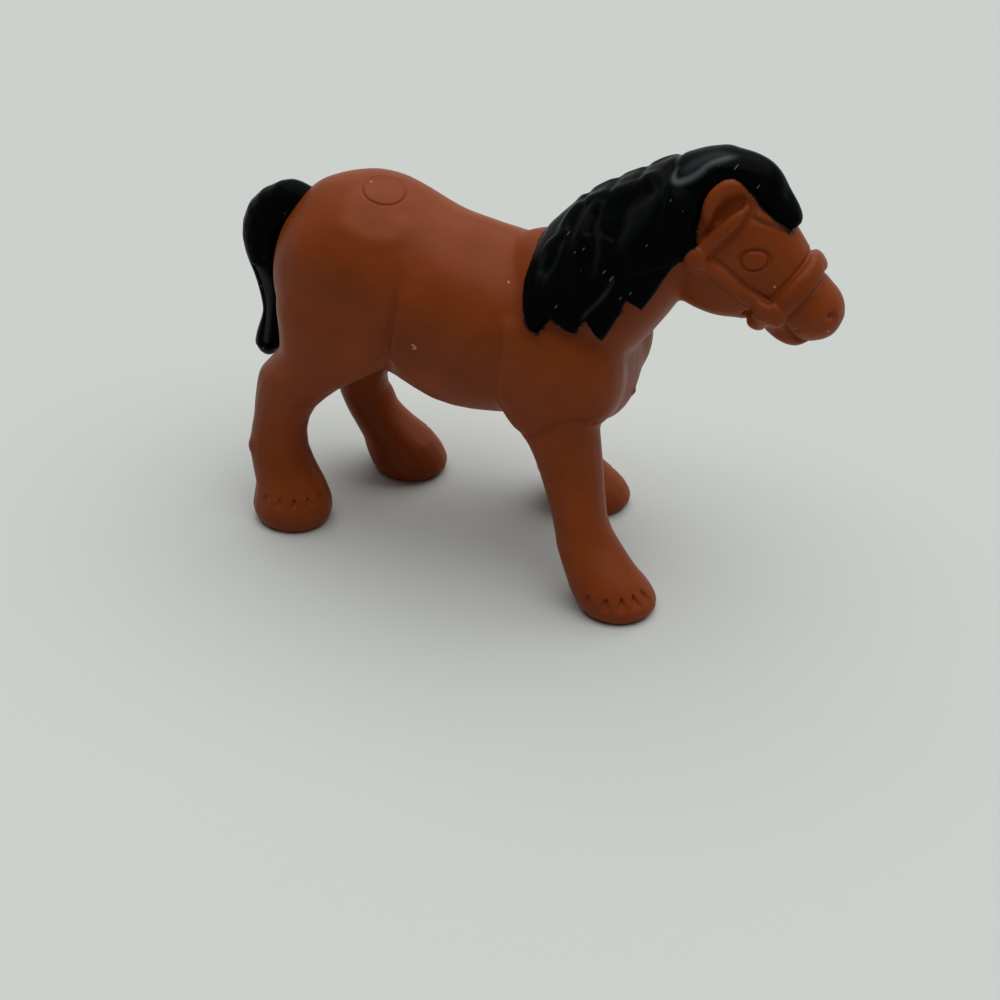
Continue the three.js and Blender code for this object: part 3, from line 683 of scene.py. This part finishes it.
def gloss_black():
    """Glossy moulded black plastic, painted greyer on its ridges as a painted highlight and some rubbed wear,
    with short pale scuffs along the hair.
    """
    material = bpy.data.materials.new("gloss_black_plastic")
    material.use_nodes = True
    links = material.node_tree.links
    shader = material.node_tree.nodes["Principled BSDF"]
    place = add_node(material, "ShaderNodeTexCoord").outputs["Object"]
    # A scuff is six times as long as wide, and lies along the hair as it is seen from the side. Less than
    # half of the cells, of this width, hold one.
    with_hair = add_node(
        material, "ShaderNodeMapping",
        {"Vector": place, "Rotation": (math.radians(90), math.radians(32), 0), "Scale": (1, 6, 1)},
        vector_type="TEXTURE",
    )
    scuff_mm = 0.8
    scuff = add_node(
        material, "ShaderNodeTexVoronoi", {"Vector": with_hair.outputs["Vector"], "Scale": 1000 / scuff_mm},
        voronoi_dimensions="2D",
    )
    size = add_node(
        material, "ShaderNodeMath", {0: scuff.outputs["Color"], 1: 0.15, 2: -0.08}, operation="MULTIPLY_ADD"
    )
    mark = add_node(
        material, "ShaderNodeMath", {0: scuff.outputs["Distance"], 1: size.outputs[0]}, operation="LESS_THAN"
    )
    wear_and_highlight = add_node(material, "ShaderNodeAttribute", attribute_name="wear_and_highlight")
    # The ridges are painted grey: a painted highlight in place of the sheen of the light along them, and a
    # little rubbed wear.
    ground = add_node(
        material, "ShaderNodeMix",
        {"Factor": wear_and_highlight.outputs["Fac"], "A": linear("#010202"), "B": linear("#53585a")}, data_type="RGBA",
    )
    colour = add_node(
        material, "ShaderNodeMix",
        {"Factor": mark.outputs[0], "A": ground.outputs["Result"], "B": linear("#686c6b")}, data_type="RGBA",
    )
    links.new(colour.outputs["Result"], shader.inputs["Base Color"])
    rubbed_mm = 3
    rubbed = add_node(
        material, "ShaderNodeTexNoise", {"Vector": place, "Scale": 1000 / rubbed_mm, "Detail": 4}
    )
    sheen = add_node(
        material, "ShaderNodeMapRange", {"Value": rubbed.outputs["Fac"], "To Min": 0.2, "To Max": 0.38}
    )
    links.new(sheen.outputs["Result"], shader.inputs["Roughness"])
    # The room of the photograph is dim, so a black surface mirrors almost nothing of it.
    shader.inputs["Specular IOR Level"].default_value = 0.02
    return material


# The rim is what lies close to the body. It keeps its shape while the rest is softened.
mane_voxel = 0.16
mane_gap = 0.33
slit_reach = 0.4
hair_reach = 1.5
mane = skinned("mane_skin", ["mane"], mane_voxel)
close_slits(mane, slit_reach, mane_voxel)
soften(mane, 20)
height = over_body(places(mane.data), hair_reach)[0]
rim = fade(evened(mane.data, height, 30), 0.3, 0.75)
soften(mane, 180, 1 - rim)

# Each lock is a raised band round a hollow, seen as an arch from the side. The front of the crest has a band
# and an edge round it, both painted grey as a painted highlight and a little wear, and the strand that runs
# down to the third point of the hem has a band too.
low_arch = [
    (2.58, 6.82, 31.18), (2.5, 5.62, 32.81), (2.55, 3.67, 34.07), (3.27, 3.37, 35.21), (3.91, 3.05, 35.69),
    (4.27, 3.49, 35.17), (4.06, 4.48, 34.51), (3.75, 5.44, 33.61), (3.24, 6.34, 32.32), (2.87, 6.81, 31.03),
]
middle_arch = [
    (5.19, 4.8, 35.33), (5.43, 3.67, 36.53), (5.81, 2.65, 37.62), (6.37, 1.87, 38.36), (7.24, 2.21, 38.6),
    (7.32, 2.67, 38.04), (7.3, 3.6, 37.28), (7.78, 5.01, 36.49), (7.96, 5.7, 35.25), (7.87, 6.11, 33.81),
    (7.71, 6.32, 32.44),
]
big_arch = [
    (3.3, 3.46, 35.16), (3.61, 1.94, 36.18), (4.41, 1.01, 37.32), (6.42, 1.2, 38.84), (9.15, 1.67, 40.44),
    (10.79, 1.41, 41.65), (12.02, 1.84, 42.21), (12.81, 2.57, 41.92), (12.75, 3.45, 41.26),
    (12.06, 4.02, 40.21), (11.64, 4.92, 39.58), (11.13, 5.23, 38.72), (10.33, 5.44, 37.25),
    (9.74, 5.43, 35.59),
]
front_ridge = [
    (13.78, 2.54, 42.7), (14.84, 1.96, 43.62), (16, 1.35, 44.34), (17.42, 1.02, 44.95), (18.61, 0.5, 44.92),
]
front_edge = [
    (14.0, 1.35, 43.5), (13.5, 1.9, 43.0), (13.6, 2.5, 42.6), (14.1, 2.9, 42.5), (15.1, 2.5, 42.9),
    (15.9, 2.3, 43.6), (16.5, 1.9, 44.2), (18.0, 1.2, 44.8), (19.0, 0.4, 44.9),
]
strand_edge = [
    (9.63, 6.08, 34.27), (9.49, 6.64, 33.1), (8.66, 6.79, 31.55), (7.57, 7.38, 30.18), (6.85, 7.35, 28.95),
]
# Each band: its path, height and half width, and how much it is painted grey, for a painted highlight and
# wear.
bands = [
    (low_arch, 0.16, 0.28, 0.08), (middle_arch, 0.2, 0.28, 0.08), (big_arch, 0.26, 0.55, 0.06),
    (front_ridge, 0.1, 0.6, 0.3), (front_edge, 0.05, 0.3, 1), (strand_edge, 0.16, 0.17, 0.25),
]
low_hollow = [(3.71, 3.53, 35.27), (3.46, 4.66, 34.37), (3.16, 5.38, 33.45), (2.67, 6.06, 32.25)]
middle_hollow = [(6.65, 2.39, 38.07), (6.42, 3.58, 37.31), (6.36, 4.71, 36.44)]
big_hollow = [
    (11.93, 2.66, 41.6), (11.11, 2.91, 40.95), (10, 3.05, 39.9), (9.22, 3.7, 38.85), (8.96, 4.79, 38.05),
    (8.55, 5.39, 36.75),
]
hollows = [(low_hollow, 0.24, 0.55), (middle_hollow, 0.28, 0.65), (big_hollow, 0.34, 1.05)]
groove_paths = [
    [(3.85, 4.45, 34.76), (3.41, 5.79, 33.1), (3.72, 7.09, 31.37), (4.46, 7.68, 29.34)],
    [(7.1, 5.35, 35.62), (6.9, 6.15, 32.87), (7.0, 7.18, 30.91), (7.47, 7.56, 29.63)],
    [(10.35, 5.67, 36.35), (10.18, 5.98, 33.92), (11.01, 6.27, 32.09)],
    [
        (12.9, -2, 43.2), (12.9, 0.2, 43.4), (13.15, 1.9, 42.8), (13.1, 2.8, 41.9), (13, 4, 41),
        (12.9, 5.4, 38.2),
    ],
]
crest_notch_paths = [
    [(4.8, -2.5, 37), (4.8, 0, 37.6), (4.8, 1.3, 37.45), (4.5, 2.6, 36.8)],
    [(7.4, -2.5, 39.2), (7.4, 0, 39.8), (7.4, 1.2, 39.6), (7.2, 2.4, 38.7)],
    [(9.9, -2.5, 40.8), (9.9, 0, 41.3), (10.1, 1.8, 41), (10.1, 3.2, 40)],
]
small_lock = [(10.9, 6.2, 33.9), (11.98, 6.1, 34.37), (13.2, 5.6, 34.68), (14.4, 5.4, 35.5)]
forelock = (21.4, seam_y, 43.8)
forelock_waist = (23.65, seam_y - 0.3, 41.8)
forelock_tip = (24.2, seam_y, 41)
hair_swell = 0.08
groove_depth = 0.22
crest_notch_depth = 0.2
points = places(mane.data)
sided = mirrored(points)
push = np.full(len(points), hair_swell)
# How much each point is painted grey: a painted highlight along the ridges, and a little wear.
wear_and_highlight = np.zeros(len(points))
for path, height, half_width, highlight_and_wear in bands:
    on_band = band(sided, path, half_width, taper=1.5)
    push += height * on_band
    wear_and_highlight = np.maximum(wear_and_highlight, highlight_and_wear * on_band)
for path, depth, half_width in hollows:
    push -= depth * band(sided, path, half_width)
for path in groove_paths:
    push -= groove_depth * band(sided, path, half_width=0.4, taper=1.5)
for path in crest_notch_paths:
    push -= crest_notch_depth * band(sided, path, half_width=0.5, taper=1.5)
push += crease(sided, small_lock, depth=0.2, half_width=0.35, rise=0.15, reach=1.5, taper=0.6)
push += bump(points, forelock, height=0.55, half_width=2.4)
push += bump(points, forelock_waist, height=-0.4, half_width=0.9)
pushed_out(mane.data, push * (1 - rim))
keep_wear_and_highlight(mane.data, wear_and_highlight)
soften(mane, 10)
soften(mane, 60, fade(away_from(places(mane.data), forelock_tip), 1.5, 3))
pressed_on(mane, mane_gap)

# The hem of the near side, as x and z: four pointed locks. In front of the last one it is left as it is. What
# would hang lower than the hem is sunk in the body.
hem_line = [
    (1.1, 28.7), (1.6, 27.7), (2.6, 26.6), (3.3, 27.6), (4, 28.3), (5, 27.8), (6.1, 27), (6.6, 28.1),
    (7.3, 28.8), (7.9, 28), (8.8, 26.7), (9.7, 28.3), (10.2, 30.2), (10.6, 31.2), (11.4, 30.7),
    (12, 29.9), (12.8, 30.8), (13.5, 32.5), (13.8, 34.2), (13.9, 20),
]
sunk = 0.3
hem_x, hem_z = np.array(hem_line).T
points = places(mane.data)
height, down = over_body(points, 2)
feet = points + down * height[:, None]
too_low = fade(feet[:, 2] - np.interp(feet[:, 0], hem_x, hem_z), -0.1, 0.3)
too_low *= (feet[:, 1] < seam_y) * (height > 0)
move_to(mane.data, points + down * ((height + sunk) * too_low)[:, None])
for face in mane.data.polygons:
    face.use_smooth = True
black = gloss_black()
mane.data.materials.append(black)
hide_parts("mane")
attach(mane, "root")


def sprayed(half, hair):
    """Gives the body an attribute for its overspray, which says how near the seen hair is."""
    seen = over_body(places(hair.data), 0.5)[0] > 0
    faces = [list(face.vertices) for face in hair.data.polygons]
    faces = [face for face in faces if all(seen[corner] for corner in face)]
    tree = BVHTree.FromPolygons([vertex.co for vertex in hair.data.vertices], faces)
    reach = 0.5
    points = places(half.data)
    low = places(hair.data).min(0) - 1
    high = places(hair.data).max(0) + 1
    amount = np.zeros(len(points), np.float32)
    for index in np.flatnonzero(np.all((points > low) & (points < high), axis=1)):
        distance = tree.find_nearest(Vector(points[index] / 1000), reach / 1000)[3]
        if distance is not None:
            amount[index] = fade(distance * 1000, 0.05, reach)
    half.data.attributes.new("overspray", "FLOAT", "POINT").data.foreach_set("value", amount)


sprayed(right_half, mane)
sprayed(left_half, mane)

# The tail: a glossy black moulding, thick at its root and slim at its foot, with a ridge and a groove of hair
# down each side. A peg at its root is held by the closed halves of the body.
tail_voxel = 0.14
tail_gap = 0.6
tail_ridge = [
    (-27.31, 2.43, 25.07), (-26.86, 2.23, 24.06), (-26.57, 2.03, 22.91), (-26.34, 1.77, 20.7),
    (-26.49, 1.66, 19.14), (-26.66, 1.62, 17.73), (-26.91, 1.66, 15.86),
]
tail_groove = [(x - 0.5, away - 0.1, z) for x, away, z in tail_ridge]
tail_top = (-24.2, seam_y, 33.1)
tail_ridge_height = 0.1
tail_groove_depth = 0.2
tail_wear_and_highlight = 0.4
tail = skinned("tail_skin", ["tail"], tail_voxel)
soften(tail, 18, rising(places(tail.data)[:, 2], 15.5, 17.5))
points = places(tail.data)
sided = mirrored(points)
on_ridge = band(sided, tail_ridge, half_width=0.3)
push = tail_ridge_height * on_ridge - tail_groove_depth * band(sided, tail_groove, half_width=0.3)
push += bump(points, tail_top, height=0.45, half_width=1.8)
pushed_out(tail.data, push)
# The ridge of the tail is painted grey too: a painted highlight, and a little wear.
keep_wear_and_highlight(tail.data, tail_wear_and_highlight * on_ridge)
pressed_on(tail, tail_gap)
for face in tail.data.polygons:
    face.use_smooth = True
tail.data.materials.append(black)
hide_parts("tail")
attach(tail, "root")

# The studio: a pale matt table top under one wide soft light from above, a little behind the horse. The room
# is dim, so that the light falls from above, but it is seen, and mirrored, as a pale backdrop.
pale_grey = "#d0d4d0"


def table_top():
    """A wide plain sheet under the hooves."""
    half_width = 2.5
    mesh = bpy.data.meshes.new("table_top")
    corners = [(-half_width, -half_width, 0), (half_width, -half_width, 0)]
    corners += [(half_width, half_width, 0), (-half_width, half_width, 0)]
    mesh.from_pydata(corners, [], [(0, 1, 2, 3)])
    sheet = bpy.data.objects.new("table_top", mesh)
    bpy.context.scene.collection.objects.link(sheet)
    material = bpy.data.materials.new("matt_table_top")
    material.use_nodes = True
    shader = material.node_tree.nodes["Principled BSDF"]
    shader.inputs["Base Color"].default_value = linear(pale_grey)
    shader.inputs["Roughness"].default_value = 0.8
    mesh.materials.append(material)


table_top()

sky_light = bpy.data.lights.new("soft_sky_light", "SUN")
sky_light.angle = math.radians(85)
sky_light.energy = 2.85
sky_light_object = bpy.data.objects.new("soft_sky_light", sky_light)
sky_light_object.rotation_euler = (math.radians(-11), math.radians(4), 0)
bpy.context.scene.collection.objects.link(sky_light_object)

world = bpy.data.worlds.new("studio")
world.use_nodes = True
rays = add_node(world, "ShaderNodeLightPath").outputs
seen = add_node(
    world, "ShaderNodeMath", {0: rays["Is Camera Ray"], 1: rays["Is Glossy Ray"]}, operation="MAXIMUM"
)
seen_or_mirrored = add_node(
    world, "ShaderNodeMath", {0: seen.outputs[0], 1: rays["Is Transmission Ray"]}, operation="MAXIMUM"
)
strength = add_node(
    world, "ShaderNodeMapRange", {"Value": seen_or_mirrored.outputs[0], "To Min": 0.06, "To Max": 0.96}
)
backdrop = world.node_tree.nodes["Background"]
backdrop.inputs["Color"].default_value = linear(pale_grey)
world.node_tree.links.new(strength.outputs["Result"], backdrop.inputs["Strength"])
bpy.context.scene.world = world

# The camera stands where the photograph was taken from: above, in front of the near side.
camera = bpy.data.objects.new("camera", bpy.data.cameras.new("camera"))
bpy.context.scene.collection.objects.link(camera)
camera.data.lens = 102.377
camera.data.sensor_width = 36
camera.data.sensor_fit = "HORIZONTAL"
camera.data.clip_start = 0.01
camera_place = Vector((0.073902, -0.216179, 0.1616))
view_right = Vector((0.93892, 0.34376, 0.01619)).normalized()
view_ahead = Vector((-0.27426, 0.77584, -0.5682)).normalized()
view_turn = Matrix((view_right, view_right.cross(view_ahead), -view_ahead)).transposed().to_quaternion()
camera.matrix_world = Matrix.LocRotScale(camera_place, view_turn, None)
bpy.context.scene.camera = camera
bpy.context.scene.view_settings.view_transform = "Standard"
